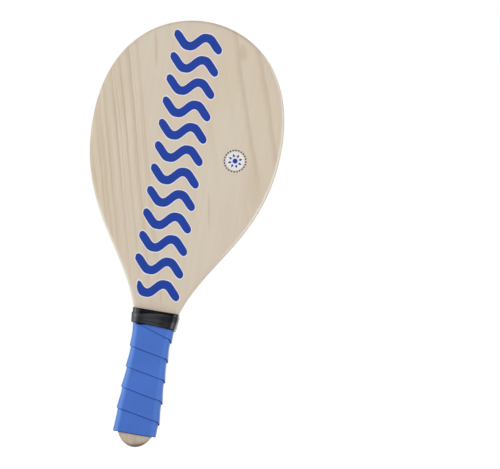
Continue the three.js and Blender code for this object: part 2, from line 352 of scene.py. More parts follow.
class Winding:
    """The way round the handle, clockwise seen from above, from the front end of its left side."""

    CORNERS = ((-1, 1, math.pi), (1, 1, math.pi / 2), (1, -1, 0.0), (-1, -1, -math.pi / 2))
    SIDE_CUTS, FACE_CUTS, ARC_CUTS = 5, 12, 9
    LEAST_STEP = 0.004

    def __init__(self, core, height):
        """A core gives its half-width, half-depth and corner radius at a height."""
        self.core = core
        half_width, half_depth, radius = core(height)
        straights = (
            (2 * (half_depth - radius), self.SIDE_CUTS),
            (2 * (half_width - radius), self.FACE_CUTS),
        )
        self.legs = []
        for i, corner in enumerate(self.CORNERS):
            self.legs.append((*straights[i % 2], self.CORNERS[i - 1], corner))
            self.legs.append((math.pi * radius / 2, self.ARC_CUTS, corner, corner))
        self.girth = sum(leg[0] for leg in self.legs)

    def place(self, turn, height, offset=0.0):
        """The point beside the core after so many turns, at a height and an offset from its surface."""
        left = (turn % 1.0) * self.girth
        for span, _, start, end in self.legs:
            if left <= span:
                break
            left -= span
        share = min(left / span, 1.0)
        half_width, half_depth, radius = self.core(height)
        angle = end[2]
        if start is end:
            angle -= share * math.pi / 2
        across = mix(start[0], end[0], share) * (half_width - radius)
        through = mix(start[1], end[1], share) * (half_depth - radius)
        reach = radius + offset
        return Vector((across + reach * math.cos(angle), through + reach * math.sin(angle), height))

    def stations(self, start, end):
        """Turns from start to end that cut each corner, side and face evenly."""
        marks, passed = [], 0.0
        for span, cuts, _, _ in self.legs:
            marks += [(passed + span * k / cuts) / self.girth for k in range(cuts)]
            passed += span
        turns = [whole + mark for whole in range(int(start), int(end) + 1) for mark in marks]
        low, high = start + self.LEAST_STEP, end - self.LEAST_STEP
        return [start, *(turn for turn in turns if low < turn < high), end]


class Tape:
    """What the two tapes share: a strip wound round a core, each turn lying on the one below."""

    CLIMB_FROM, CLIMB_TO = 0.86, 0.96
    SHARP = 50.0

    def __init__(self, outline, height):
        self.outline = outline
        self.sizes = outline.sizes
        self.winding = Winding(self.core, height)

    def layer(self, turns):
        """0 on the core and 1 on the first turn, after so many turns."""
        return progress(turns, self.CLIMB_FROM, self.CLIMB_TO)

    def wind(self, name, start, end):
        """A closed strip from one turn to another, through the section that it has at each."""
        turns = self.winding.stations(start, end)
        drop = Vector((0, 0, self.sizes.hand_height))
        points = []
        for turn in turns:
            section = self.section(turn)
            points += [self.winding.place(turn, height, offset) - drop for offset, height in section]
        count = len(section)
        last = len(points) - count
        faces = walls(0, last, count)
        for i in range(count // 2 - 1):
            rungs = (i, i + 1, count - 2 - i, count - 1 - i)
            faces += [rungs, tuple(last + k for k in reversed(rungs))]
        piece = as_piece(name, points, faces, self.SHARP)
        marks = piece.data.attributes.new("turn", "FLOAT", "POINT")
        marks.data.foreach_set("value", [turn for turn in turns for _ in range(count)])
        return piece


class GripTape(Tape):
    """The grip tape's path and section. Its lift, dip and wobble come in over turns, and it is pressed
    over heights.
    """

    TURNS = 5.97
    SEAT, LAP = 0.5 * MM, 0.05 * MM
    BUTT_ROUNDING = 21 * MM
    START_WIDTH = 6 * MM
    LIFT, LIFT_TO = 2.8 * MM, 1.6
    DIP, DIP_FROM, DIP_TO = 1.6 * MM, 5.1, 5.6
    LAST_CLIMB = 14 * MM
    PRESSED, PRESSED_FROM, PRESSED_TO = 0.75 * MM, 124 * MM, 126 * MM
    SLOPE, SLOPE_BELOW = 19 * MM, 6.65 * MM
    WOBBLE, WOBBLE_TO, WOBBLE_RATE, WOBBLE_ROW = 0.35 * MM, 1.5, 7.0, (3.1, 0.4)
    EDGE_SHARE = 1 / 6
    EDGE_CUTS, SLOPE_CUTS = 4, 8

    def core(self, height):
        """The handle's half-width, half-depth and corner radius. It doesn't narrow with the rounded butt."""
        return (
            self.outline.half_width(max(height, self.BUTT_ROUNDING)) + self.SEAT,
            self.outline.handle_half + self.SEAT,
            self.sizes.handle_radius + self.SEAT,
        )

    def lower_edge(self, turn):
        """Level for one turn, then climbing, with a steeper lap at the end."""
        sizes = self.sizes
        if turn <= 1:
            return sizes.tape_bottom
        wobble = self.WOBBLE * noise.noise(Vector((turn * self.WOBBLE_RATE, *self.WOBBLE_ROW)))
        wobble *= smooth(turn, 1, self.WOBBLE_TO)
        lift = self.LIFT * smooth(turn, 1, self.LIFT_TO)
        dip = self.DIP * smooth(turn, self.DIP_FROM, self.DIP_TO)
        climb = self.LAST_CLIMB * max(0.0, turn - self.DIP_TO)
        return sizes.tape_bottom + sizes.tape_pitch * (turn - 1) + lift - dip + climb + wobble

    def upper_edge(self, turn):
        """Cut slantwise on the first turn, parallel to the lower edge, and level at the top."""
        width = mix(self.START_WIDTH, self.sizes.tape_width, min(turn, 1.0))
        return min(self.lower_edge(turn) + width, self.sizes.tape_top)

    def thickness(self, height):
        """The foam is pressed flat under the black tape."""
        pressed = smooth(height, self.PRESSED_FROM, self.PRESSED_TO)
        return mix(self.sizes.tape_thickness, self.PRESSED, pressed)

    def lift(self, turn, height):
        """How far a turn stands off: on the turn below at its lower edge, on the wood at its upper."""
        lower = self.lower_edge(turn)
        below = self.upper_edge(max(turn - 1, 0.0))
        full = self.thickness(min(height, max(lower, below))) + self.LAP
        start, end = lower - self.SLOPE_BELOW, lower + self.SLOPE
        return self.layer(turn) * full * (1 - smooth(height, start, end)) / (1 - smooth(lower, start, end))

    def section(self, turn):
        """Offset and height pairs: up the outside from a soft lower edge, and down the inside."""
        lower, upper = self.lower_edge(turn), self.upper_edge(turn)
        edge = min(self.sizes.tape_edge, (upper - lower) * self.EDGE_SHARE)
        angles = [i / self.EDGE_CUTS * math.pi / 2 for i in range(self.EDGE_CUTS + 1)]
        steps = [(lower + edge * (1 - math.cos(angle)), edge * (1 - math.sin(angle))) for angle in angles]
        start, end = steps[-1][0], upper - edge
        steps += [(mix(start, end, i / self.SLOPE_CUTS), 0.0) for i in range(1, self.SLOPE_CUTS + 1)]
        steps.append((upper, edge))
        outer, inner = [], []
        for height, cut in steps:
            lift = self.lift(turn, height)
            outer.append((lift + self.thickness(height) - cut, height))
            inner.append((lift, height))
        return outer + inner[::-1]


class BlackTape(Tape):
    """The finishing tape's path and section: its second turn lies on the first and has slipped."""

    START, TURNS = 0.332, 1.95
    SLIP, SIDE_TILT, FRONT_TILT = 1.3 * MM, -1.2 * MM, 0.3 * MM
    # Each dip's place round the turn, how far it reaches from there, and its depth
    DIPS = ((0.965, 0.3, 5.4 * MM), (0.62, 0.07, 1.8 * MM))
    DROOP, DROOP_FROM, DROOP_FULL, DROOP_LAST, DROOP_TO = 1.9 * MM, 0.82, 0.89, 0.934, 0.946
    RADIUS, UNDER_BAND, SEAT = 6.2 * MM, 2.3 * MM, 0.3 * MM
    SECOND_GAP, RIM, CUTS = 0.6 * MM, 0.12 * MM, 8
    RIPPLE, TURN_RATE, HEIGHT_RATE, LAYER_RATE = 0.09 * MM, 9, 90, 5

    def core(self, height):
        """Wider and less deep towards its upper edge, on the bat's shoulders."""
        sizes = self.sizes
        top = sizes.band_bottom + sizes.band_width
        low = self.outline.half_width(sizes.band_bottom) + self.UNDER_BAND
        high = self.outline.half_width(top) + self.SEAT
        widening = (high - low) * (height - sizes.band_bottom) / sizes.band_width
        return low + widening, self.outline.handle_half + self.UNDER_BAND - widening, self.RADIUS

    def dip(self, share):
        """How far the second turn's upper edge sags at the front's two corners."""
        sag = 0.0
        for middle, reach, depth in self.DIPS:
            away = min(abs(share - middle), 1 - abs(share - middle))
            sag += depth * (1 - smooth(away, 0.0, reach))
        return sag

    def droop(self, share):
        """How far the first turn hangs below the second at the left of the front."""
        begun = smooth(share, self.DROOP_FROM, self.DROOP_FULL)
        return self.DROOP * begun * (1 - smooth(share, self.DROOP_LAST, self.DROOP_TO))

    def section(self, turn):
        """Offset and height pairs of the thin tape, with fine rims and a rippled outside."""
        sizes = self.sizes
        layer = self.layer(turn - self.START)
        half_width, half_depth, _ = self.core(sizes.band_bottom)
        spot = self.winding.place(turn, sizes.band_bottom)
        slip = self.SLIP - self.SIDE_TILT * spot.x / half_width + self.FRONT_TILT * spot.y / half_depth
        lower = sizes.band_bottom - mix(self.droop(turn % 1.0), slip, layer)
        upper = sizes.band_bottom + sizes.band_width - layer * (slip + self.dip(turn % 1.0))
        inner = layer * (sizes.band_thickness + self.SECOND_GAP)
        outer = inner + sizes.band_thickness
        wall = [mix(lower + self.RIM, upper - self.RIM, i / self.CUTS) for i in range(self.CUTS + 1)]
        outside = [(outer - self.RIM, lower)]
        for height in wall:
            seed = (turn * self.TURN_RATE, (height - lower) * self.HEIGHT_RATE, layer * self.LAYER_RATE)
            outside.append((outer + self.RIPPLE * noise.noise(Vector(seed)), height))
        outside.append((outer - self.RIM, upper))
        inside = [(inner, height) for height in (lower, *wall, upper)]
        return outside + inside[::-1]


# The print


def strips(runs, hand_height, back, thickness):
    """Thin shells in front of the face, from runs of columns: across, low height, high height."""
    front = back - thickness
    shells = []
    for run in runs:
        loops = []
        for across, low, high in run:
            corners = ((front, low), (back, low), (back, high), (front, high))
            loops.append([(across, depth, height - hand_height) for depth, height in corners])
        shells.append(loops)
    return shells


def slabs(polygons, centre, back, thickness):
    """Thin shells in front of the face, one for each polygon round a centre."""
    return [
        [[(centre.x + p.x, depth, centre.y + p.y) for p in polygon] for depth in (back - thickness, back)]
        for polygon in polygons
    ]


class WavePrint:
    """Rows of plain waves in a column along the blade, cut off along the bat's outline."""

    LEFT, RIGHT = -31 * MM, 22 * MM
    LOWEST, HIGHEST = 165 * MM, 430 * MM
    END_MARGIN = 1.35
    STEP, ROUND_OFF = 0.35 * MM, 1e-9
    LEAST_HEIGHT, LEAST_COLUMNS = 0.25 * MM, 4
    SEARCHED_MM = range(140, 450)
    NEAR = 60 * MM

    def __init__(self, outline):
        self.outline = outline
        self.sizes = outline.sizes
        self.limits = {}

    def room(self, across, margin):
        """The lowest and highest height that the outline leaves at a place across, or None."""
        key = round(abs(across) / self.STEP), round(margin / MM, 3)
        if key not in self.limits:
            heights = [step * MM for step in self.SEARCHED_MM]
            fits = [height for height in heights if self.clearance(abs(across), height) >= margin]
            self.limits[key] = (fits[0], fits[-1]) if fits else None
        return self.limits[key]

    def clearance(self, across, height):
        """The least distance from a place on the blade to the outline, or -1 outside it."""
        if self.outline.half_width(height) <= across:
            return -1.0
        spot = Vector((across, height))
        near = [place for place in self.outline.right if abs(place.y - height) < self.NEAR]
        return min((place - spot).length for place in near)

    def runs(self, grow):
        """The columns of every row, grown by a rim of that width."""
        sizes = self.sizes
        half = sizes.wave_stroke / 2 + grow
        margin = sizes.print_margin - grow
        runs = []
        row = self.LOWEST
        while row < self.HIGHEST:
            widest = self.outline.half_width(row) - self.END_MARGIN * sizes.print_margin
            left, right = max(self.LEFT, -widest) - grow, min(self.RIGHT, widest) + grow
            runs.append([])
            across = left
            while across <= right + self.ROUND_OFF:
                low, high = self.band(row, across, left, right, half)
                limit = self.room(across, margin)
                if limit:
                    low, high = max(low, limit[0]), min(high, limit[1])
                if limit and high - low > self.LEAST_HEIGHT:
                    runs[-1].append((across, low, high))
                else:
                    runs.append([])
                across += self.STEP
            row += sizes.wave_spacing
        return [run for run in runs if len(run) >= self.LEAST_COLUMNS]

    def band(self, row, across, left, right, half):
        """The low and high edge of a wave line at a place across, with round ends."""
        sizes = self.sizes
        turn = 2 * math.pi * (across - self.LEFT) / sizes.wave_length
        middle = row + sizes.wave_rise * math.cos(turn)
        slope = -sizes.wave_rise * math.sin(turn) * 2 * math.pi / sizes.wave_length
        reach = half * math.sqrt(1 + slope * slope)
        end = min(across - left, right - across)
        if end < half:
            reach *= math.sqrt(max(1 - (1 - end / half) ** 2, 0.0))
        return middle - reach, middle + reach


def polar(angle, radius):
    """A place on the round mark, from its centre."""
    return Vector((math.cos(angle), math.sin(angle))) * radius


def circle(radius, corners):
    """A round shape of the mark."""
    return [polar(2 * math.pi * k / corners, radius) for k in range(corners)]


class RoundMark:
    """The flat shapes of a plain round mark, as polygons: a disc, a ring of dashes and a rayed hub."""

    DISC, DISC_CORNERS = 9.6 * MM, 64
    DASHES, DASH_SHARE, DASH_CUTS, DASH_WIDTH = 24, 0.62, 3, 1.4 * MM
    HUB, HUB_CORNERS = 2.6 * MM, 32
    RAYS, RAY_START, RAY_MIDDLE, RAY_END, RAY_HALF = 8, 3.8 * MM, 5.4 * MM, 7.9 * MM, 1.25 * MM

    def disc(self):
        """The pale disc under the rest."""
        return [circle(self.DISC, self.DISC_CORNERS)]

    def ring(self, radius):
        """The dashes, whose outer ends lie on that radius."""
        dashes = []
        for i in range(self.DASHES):
            parts = [i + self.DASH_SHARE * k / self.DASH_CUTS for k in range(self.DASH_CUTS + 1)]
            angles = [2 * math.pi * part / self.DASHES for part in parts]
            outer = [polar(angle, radius) for angle in angles]
            dashes.append(outer + [polar(angle, radius - self.DASH_WIDTH) for angle in reversed(angles)])
        return dashes

    def rays(self):
        """The hub and the kite-shaped rays round it."""
        shapes = [circle(self.HUB, self.HUB_CORNERS)]
        for i in range(self.RAYS):
            angle = 2 * math.pi * (i + 0.5) / self.RAYS
            tail, head = polar(angle, self.RAY_START), polar(angle, self.RAY_END)
            middle, side = polar(angle, self.RAY_MIDDLE), polar(angle + math.pi / 2, self.RAY_HALF)
            shapes.append([tail, middle - side, head, middle + side])
        return shapes


# Materials


class Recipe:
    """Nodes that are added one by one to a material or a world."""

    def __init__(self, tree):
        self.nodes = tree.nodes
        self.links = tree.links

    def add(self, kind, inputs=None, **settings):
        """A node with its settings, its inputs linked or set."""
        node = self.nodes.new("ShaderNode" + kind)
        for key, value in settings.items():
            setattr(node, key, value)
        for key, value in (inputs or {}).items():
            self.put(node.inputs[key], value)
        return node

    def put(self, socket, value):
        """Links a socket, or sets it."""
        if isinstance(value, bpy.types.NodeSocket):
            self.links.new(value, socket)
        else:
            socket.default_value = value

    def math(self, operation, first, second=0.0, third=0.0):
        """The result of a Math node."""
        return self.add("Math", {0: first, 1: second, 2: third}, operation=operation).outputs[0]

    def times(self, first, *others):
        """The product of values."""
        for other in others:
            first = self.math("MULTIPLY", first, other)
        return first

    def line(self, value, low, high, start=0.0, end=1.0, kind="LINEAR"):
        """A value taken from one range to another in a straight line, and no further."""
        ends = {"Value": value, "From Min": low, "From Max": high, "To Min": start, "To Max": end}
        return self.add("MapRange", ends, interpolation_type=kind).outputs["Result"]

    def ramp(self, value, low, high, start=0.0, end=1.0):
        """The same along a soft curve."""
        return self.line(value, low, high, start, end, "SMOOTHSTEP")

    def rays(self, first, *others):
        """1 for a ray of any of these kinds, and 0 for another."""
        kinds = self.add("LightPath").outputs
        seen = kinds[f"Is {first} Ray"]
        for other in others:
            seen = self.math("MAXIMUM", seen, kinds[f"Is {other} Ray"])
        return seen


class Finish(Recipe):
    """A material whose colour is built up shade on shade in front of its shader."""

    def __init__(self, name):
        self.material = bpy.data.materials.new(name)
        self.material.use_nodes = True
        super().__init__(self.material.node_tree)
        self.shader = self.nodes["Principled BSDF"]
        self.spot = self.add("TexCoord").outputs["Object"]
        self.x, _, self.z = self.add("SeparateXYZ", {0: self.spot}).outputs

    def facing(self):
        """How far the surface faces to the right, to the back and up."""
        normal = self.add("NewGeometry").outputs["Normal"]
        return self.add("SeparateXYZ", {0: normal}).outputs

    def point(self, x, y, z):
        """A vector from three values."""
        return self.add("CombineXYZ", {0: x, 1: y, 2: z}).outputs[0]

    def cloud(self, stretch, detail=2.0, rough=0.5, place=None):
        """Soft noise from 0 to 1, with so many steps to the metre across, through and up."""
        steps = {0: self.spot if place is None else place, 1: stretch}
        spot = self.add("VectorMath", steps, operation="MULTIPLY").outputs[0]
        looks = {"Vector": spot, "Scale": 1.0, "Detail": detail, "Roughness": rough}
        return self.add("TexNoise", looks).outputs[0]

    def mixed(self, first, second, share):
        """So much of one value, and the rest of another."""
        return self.math("ADD", self.times(first, share), self.times(second, 1 - share))

    def start(self, share, first, second):
        """The colour to begin with, between two shades."""
        self.colour = self.blend(share, first, second)

    def tint(self, share, shade, kind="MIX"):
        """Lays a shade over the colour, by a share."""
        self.colour = self.blend(share, self.colour, shade, kind)

    def dim(self, level):
        """Makes the colour darker or lighter by a level near 1."""
        self.tint(1.0, self.point(level, level, level), "MULTIPLY")

    def blend(self, share, first, second, kind="MIX"):
        """Two colours mixed by a share."""
        node = self.add("Mix", data_type="RGBA", blend_type=kind)
        self.put(node.inputs[0], share)
        self.put(node.inputs[6], as_colour(first))
        self.put(node.inputs[7], as_colour(second))
        return node.outputs[2]

    def bump(self, height, depth, strength):
        """Bump from a height between 0 and 1 that stands for that depth."""
        node = self.add("Bump", {"Height": height, "Distance": depth, "Strength": strength})
        self.put(self.shader.inputs["Normal"], node.outputs[0])

    def done(self, roughness, **sockets):
        """Sets the shader and returns the material."""
        self.put(self.shader.inputs["Base Color"], self.colour)
        self.put(self.shader.inputs["Roughness"], roughness)
        for key, value in sockets.items():
            self.put(self.shader.inputs[key.replace("_", " ")], value)
        return self.material


def as_colour(value):
    """A colour of three channels with its alpha, or a socket as it is."""
    if isinstance(value, bpy.types.NodeSocket):
        return value
    return tuple(value)[:3] + (1.0,)


class Grain(NamedTuple):
    """Growth rings from a start to an end across the wood, in metres. Their lines lean to the left going
    up. Above a bend's height they bow to the left too, by so many metres at one metre above it.
    """

    lean: float
    bow: float
    bend: float
    start: float
    end: float
    rings: float

    def across(self, finish):
        """How far across the grain a place lies."""
        up = finish.math("SUBTRACT", finish.z, self.bend)
        above = finish.math("MAXIMUM", up, 0.0)
        bowed = finish.times(above, above, self.bow)
        return finish.math("ADD", finish.math("MULTIPLY_ADD", up, self.lean, finish.x), bowed)

    def passed(self, finish, wander):
        """How many growth rings a place has come through."""
        aside = finish.math("SUBTRACT", wander, 0.5)
        wavy = finish.math("MULTIPLY_ADD", aside, RING_WANDER, self.across(finish))
        return finish.line(wavy, self.start, self.end, 0.0, self.rings)


LEFT_GRAIN = Grain(0.27, 0.0, 110 * MM, -106.2 * MM, 18.6 * MM, 12.0)
FINE_GRAIN = Grain(0.27, 0.0, 110 * MM, -104 * MM, 18 * MM, 19.0)
MIDDLE_GRAIN = Grain(0.17, 0.5, 110 * MM, 18 * MM, 98 * MM, 3.0)
RIGHT_GRAIN = Grain(0.28, 0.15, 180 * MM, 74.5 * MM, 168.5 * MM, 4.0)
CHEEK_GRAIN = Grain(0.17, 0.0, 110 * MM, -76 * MM, -20 * MM, 9.0)
# How far rings stray, by how many they crowd, and how often for each ring
RING_WANDER, RING_CROWDING, CROWDING_RATE = 18 * MM, 4.5, 0.45
# Where in its ring a dark line is full, and where it starts in a main, a soft and a fine line
LINE_END, MAIN_START, SOFT_START, FINE_START = 0.9, 0.6, 0.6, 0.55
# How much of the fine waves joins the slow ones, and how the main lines follow them
FINE_WAVES, MAIN_WAVES, MAIN_SHIFT = 0.26, 0.5, 0.19
# How strong the left lines, the right ones, the faint ones between them and the fine ones are
LEFT_SHARE, RIGHT_SHARE, FAINT_SHARE, FINE_SHARE = 0.74, 0.34, 0.14, 0.62
# The face's fibres: steps to the metre, detail and roughness. Then the steps of the edge's pores
FIBRES = ((1500, 300, 26), 3.0, 0.65)
END_PORES, LONG_PORES = (900, 900, 900), (200, 1600, 60)
# Brown at the butt, and the painted shade on the butt's underside
BUTT_BROWN, BUTT_PAINTED_SHADE = (0.32, 0.19, 0.125), (0.12, 0.09, 0.07)

# Darker places of the front: across, height, half-width and half-height in millimetres, and strength
WOOD_MARKS = (
    (44, 353, 6, 11, 0.34),
    (79, 217, 12, 30, 0.16),
    (-4, 330, 9, 26, 0.13),
    (37, 184, 1.6, 26, 0.3),
    (2, 91, 1.4, 14, 0.3),
    (-82, 300, 16, 60, 0.14),
    (-47, 344, 2.6, 24, 0.34),
)
MARK_LEAN = 0.19


def uneven_rings(finish, passed):
    """Rings that lie closer in some places and further apart in others."""
    crowding = finish.cloud((CROWDING_RATE, 0, 0), place=finish.point(passed, 0.0, 0.0))
    return finish.math("MULTIPLY_ADD", crowding, RING_CROWDING, passed)


def ring_line(finish, passed, first):
    """The dark late wood of each ring: it deepens slowly from a share of the ring on, and ends at once."""
    share = finish.math("FRACT", passed)
    return finish.times(finish.ramp(share, first, LINE_END), finish.ramp(share, LINE_END, 1.0, 1.0, 0.0))


def each_ring(finish, passed):
    """A random value for each ring."""
    number = finish.math("FLOOR", passed)
    return finish.add("TexWhiteNoise", {"W": number}, noise_dimensions="1D").outputs["Value"]


def wood_mark(finish, dark, x, z, wide, tall, share):
    """A soft darker place in the wood that leans with the grain."""
    up = finish.math("SUBTRACT", finish.z, z * MM)
    leaned = finish.math("MULTIPLY_ADD", up, MARK_LEAN, finish.x)
    across = finish.math("DIVIDE", finish.math("SUBTRACT", leaned, x * MM), wide * MM)
    along = finish.math("DIVIDE", up, tall * MM)
    away = finish.math("ADD", finish.times(across, across), finish.times(along, along))
    finish.tint(finish.ramp(away, 1.0, 0.0, 0.0, share), dark)


def sanded_and_lit_rim(finish, pale):
    """The rim of the right side and of the lower left side is painted paler: sanded wood, and a painted
    highlight where the light falls on the rounded edge.
    """
    turned = finish.ramp(finish.math("ABSOLUTE", finish.facing()[1]), 0.995, 0.75)
    right = finish.ramp(finish.x, 40 * MM, 80 * MM, 0.0, 0.85)
    low = finish.ramp(finish.z, 240 * MM, 150 * MM, 0.0, 0.6)
    low_left = finish.times(low, finish.ramp(finish.x, 20 * MM, -20 * MM))
    finish.tint(finish.times(turned, finish.math("MAXIMUM", right, low_left)), pale)


def face_pine(name, colours, marks=True):
    """Slip-cut pine: dark lines on the left, faint ones in the middle and soft ones on the right. The back
    is laid out in the same way seen from behind, without the marks.
    """
    finish = Finish(name)
    if not marks:
        finish.x = finish.times(finish.x, -1.0)
    wander = finish.cloud((9, 0, 3.2))
    wobble = finish.math("MULTIPLY_ADD", finish.cloud((45, 0, 20)), FINE_WAVES, wander)
    fading = finish.cloud((24, 0, 4.5), 1.0)
    reach, edge = LEFT_GRAIN.across(finish), RIGHT_GRAIN.across(finish)

    regular = LEFT_GRAIN.passed(finish, finish.math("MULTIPLY_ADD", wobble, MAIN_WAVES, MAIN_SHIFT))
    main = finish.times(
        ring_line(finish, regular, MAIN_START),
        finish.ramp(fading, 0.35, 0.6, 0.4, 1.0),
        finish.line(each_ring(finish, regular), 0.0, 1.0, 0.7, 1.0),
    )
    uneven = uneven_rings(finish, FINE_GRAIN.passed(finish, wobble))
    strength = finish.times(
        finish.line(finish.math("POWER", each_ring(finish, uneven), 1.3), 0.0, 1.0, 0.3, 1.0),
        finish.ramp(fading, 0.3, 0.6, 0.5, 1.0),
    )
    fine = finish.times(ring_line(finish, uneven, FINE_START), strength, FINE_SHARE)
    left_area = finish.times(
        finish.ramp(reach, 6 * MM, -12 * MM), finish.ramp(finish.z, 80 * MM, 150 * MM, 0.3, 1.0)
    )
    lines = finish.times(finish.math("MAXIMUM", fine, main), left_area)
    right_area = finish.times(
        finish.ramp(edge, 72 * MM, 88 * MM), finish.ramp(finish.z, 200 * MM, 250 * MM)
    )
    bands = finish.times(ring_line(finish, RIGHT_GRAIN.passed(finish, wobble), SOFT_START), right_area)
    middle = ring_line(finish, MIDDLE_GRAIN.passed(finish, wobble), FINE_START)
    faint = finish.times(middle, finish.ramp(fading, 0.35, 0.7))

    patches, tints = finish.cloud((13, 0, 4.5)), finish.cloud((30, 0, 8))
    finish.start(finish.ramp(patches, 0.35, 0.62), colours.pine_pink, colours.pine)
    right_gold = finish.ramp(edge, 74 * MM, 100 * MM, 0.0, 0.4)
    left_gold = finish.ramp(reach, -24 * MM, -62 * MM, 0.0, 0.7)
    sides = finish.math("MAXIMUM", right_gold, left_gold)
    finish.tint(finish.math("MAXIMUM", sides, finish.ramp(tints, 0.5, 0.68, 0.0, 0.5)), colours.pine_gold)
    for grain, share in ((lines, LEFT_SHARE), (bands, RIGHT_SHARE), (faint, FAINT_SHARE)):
        finish.tint(finish.times(grain, share), colours.late_wood)
    if marks:
        for mark in WOOD_MARKS:
            wood_mark(finish, colours.late_wood, *mark)
    fibre = finish.cloud(*FIBRES)
    streaks = finish.cloud((260, 60, 7), 2.0, 0.55)
    thin = finish.ramp(fibre, 0.25, 0.75, 0.972, 1.014)
    finish.dim(finish.times(thin, finish.ramp(streaks, 0.3, 0.7, 0.986, 1.008)))
    # Paler rim: sanded wood, and a painted highlight on the lit sides
    sanded_and_lit_rim(finish, colours.sanded)
    finish.bump(finish.mixed(lines, fibre, 0.5), 0.12 * MM, 0.35)
    rough = finish.ramp(fibre, 0.2, 0.8, 0.5, 0.62)
    return finish.done(rough, Specular_IOR_Level=0.32, Coat_Weight=0.06, Coat_Roughness=0.38)


def edge_pine(name, colours, base, stretch):
    """A ply seen at the bat's edge: fine pores of end grain, or long fibres."""
    finish = Finish(name)
    pores = finish.cloud(stretch, 3.0, 0.7)
    slow = finish.cloud((30, 30, 30))
    finish.start(finish.ramp(pores, 0.35, 0.7, 0.0, 0.6), base, colours.late_wood)
    finish.tint(finish.ramp(slow, 0.3, 0.7, 0.0, 0.4), colours.pine)
    finish.bump(pores, 0.1 * MM, 0.5)
    return finish.done(finish.ramp(pores, 0.2, 0.8, 0.62, 0.75), Specular_IOR_Level=0.3)


def cheek_pine(name, colours):
    """Sanded bare pine of the handle, pinkish on the left, and brown at the butt, with painted shade on the
    butt's underside, darker to the right.
    """
    finish = Finish(name)
    wander = finish.cloud((30, 10, 12))
    lines = ring_line(finish, CHEEK_GRAIN.passed(finish, wander), FINE_START)
    fibre = finish.cloud((1300, 900, 40), 3.0, 0.65)
    patches = finish.cloud((60, 40, 50))
    bare = Vector(colours.cheek_wood)
    finish.start(finish.ramp(patches, 0.35, 0.65), bare * 0.94, bare * 1.14)
    pinkish = finish.blend(1.0, finish.colour, (1.05, 0.97, 0.97), "MULTIPLY")
    finish.tint(finish.ramp(finish.x, 3 * MM, -4 * MM), pinkish)
    finish.tint(finish.times(lines, RIGHT_SHARE), colours.late_wood)
    low = finish.times(
        finish.ramp(finish.z, -62 * MM, -69 * MM), finish.ramp(finish.x, -4 * MM, 6 * MM)
    )
    finish.tint(finish.times(low, finish.ramp(patches, 0.35, 0.6, 0.35, 0.8)), BUTT_BROWN)
    # Painted shade on the butt's underside, darker towards the right
    under = finish.ramp(finish.facing()[2], -0.3, -0.9)
    finish.tint(finish.times(under, finish.ramp(finish.x, -14 * MM, 8 * MM, 0.1, 0.9)), BUTT_PAINTED_SHADE)
    finish.dim(finish.ramp(fibre, 0.25, 0.75, 0.93, 1.03))
    finish.bump(finish.mixed(lines, fibre, 0.4), 0.15 * MM, 0.4)
    return finish.done(finish.ramp(fibre, 0.2, 0.8, 0.6, 0.74), Specular_IOR_Level=0.28)


def grip_foam(name, colours):
    """Soft closed-cell foam: matte, with a painted highlight on its corners, strongest on the left, and
    painted shade on the cut edges that face down.
    """
    finish = Finish(name)
    pores = finish.cloud((1900, 1900, 1900), 2.0, 0.6)
    stretch = finish.cloud((60, 60, 260), 3.0, 0.6)
    slow = finish.cloud((38, 38, 38))
    foam = Vector(colours.foam)
    finish.start(finish.ramp(slow, 0.3, 0.7), foam * 0.95, foam * 1.05)
    finish.tint(finish.ramp(pores, 0.3, 0.7, 0.0, 0.22), foam * 0.8)
    across, _, up = finish.facing()
    sideways = finish.math("ABSOLUTE", across)
    # Painted highlight: the corners are painted paler, more on the left, where the light falls
    corner = finish.times(finish.ramp(sideways, 0.02, 0.6), finish.ramp(sideways, 1.0, 0.75))
    highlight_share = finish.ramp(finish.x, -6 * MM, 6 * MM, 0.55, 0.16)
    finish.tint(finish.times(corner, highlight_share), colours.foam_corner_highlight)
    # Painted shade: the laps' downward-facing cut edges are painted dark
    edge = finish.ramp(up, -0.12, -0.55)
    finish.tint(edge, colours.lap_edge_shade)
    finish.bump(finish.mixed(pores, stretch, 0.35), 0.16 * MM, 0.4)
    gloss = finish.ramp(edge, 0.0, 1.0, 0.36, 0.05)
    rough = finish.ramp(stretch, 0.2, 0.8, 0.56, 0.7)
    return finish.done(rough, Specular_IOR_Level=gloss, Sheen_Weight=0.1, Sheen_Roughness=0.4)


def black_vinyl(name, colours):
    """Stretched vinyl tape: glossy black with long low ripples and scuffs, and a painted highlight on the
    left corners.
    Its gloss is lowered on the first turn's front and back as painted shade, and raised most in the middle
    of the second's as a painted reflection.
    """
    finish = Finish(name)
    ripple = finish.cloud((70, 70, 420), 3.0, 0.55)
    scuff = finish.cloud((260, 260, 1400), 3.0, 0.7)
    smear = finish.cloud((34, 34, 150))
    finish.start(finish.ramp(scuff, 0.5, 0.8, 0.0, 0.3), colours.vinyl, Vector(colours.vinyl) * 2.2)
    # Painted highlight: the left corners are painted paler
    highlight_share = finish.times(
        finish.ramp(finish.x, -14 * MM, -19 * MM), finish.ramp(finish.x, -24 * MM, -21 * MM)
    )
    finish.tint(finish.times(highlight_share, 0.9), colours.vinyl_corner_highlight)
    finish.bump(ripple, 0.35 * MM, 0.6)
    turn = finish.add("Attribute", attribute_name="turn").outputs["Fac"]
    sideways = finish.math("ABSOLUTE", finish.facing()[0])
    # Painted shade: the gloss is lowered where the first turn shows on the front and back, in the second
    # turn's shade
    under = finish.ramp(turn, BlackTape.START + 0.95, BlackTape.START + 0.9)
    shaded_turn = finish.times(under, finish.ramp(sideways, 0.5, 0.15))
    aside = finish.math("ABSOLUTE", finish.math("ADD", finish.x, 3 * MM))
    flat = finish.ramp(sideways, 0.35, 0.1)
    lit = finish.math("MULTIPLY_ADD", finish.ramp(aside, 4 * MM, 14 * MM, 0.45, -0.45), flat, 1.0)
    gloss = finish.times(
        finish.ramp(smear, 0.35, 0.65, 0.16, 0.4), finish.ramp(shaded_turn, 0.0, 1.0, 1.0, 0.12), lit
    )
    return finish.done(finish.ramp(scuff, 0.3, 0.8, 0.18, 0.3), Specular_IOR_Level=gloss)


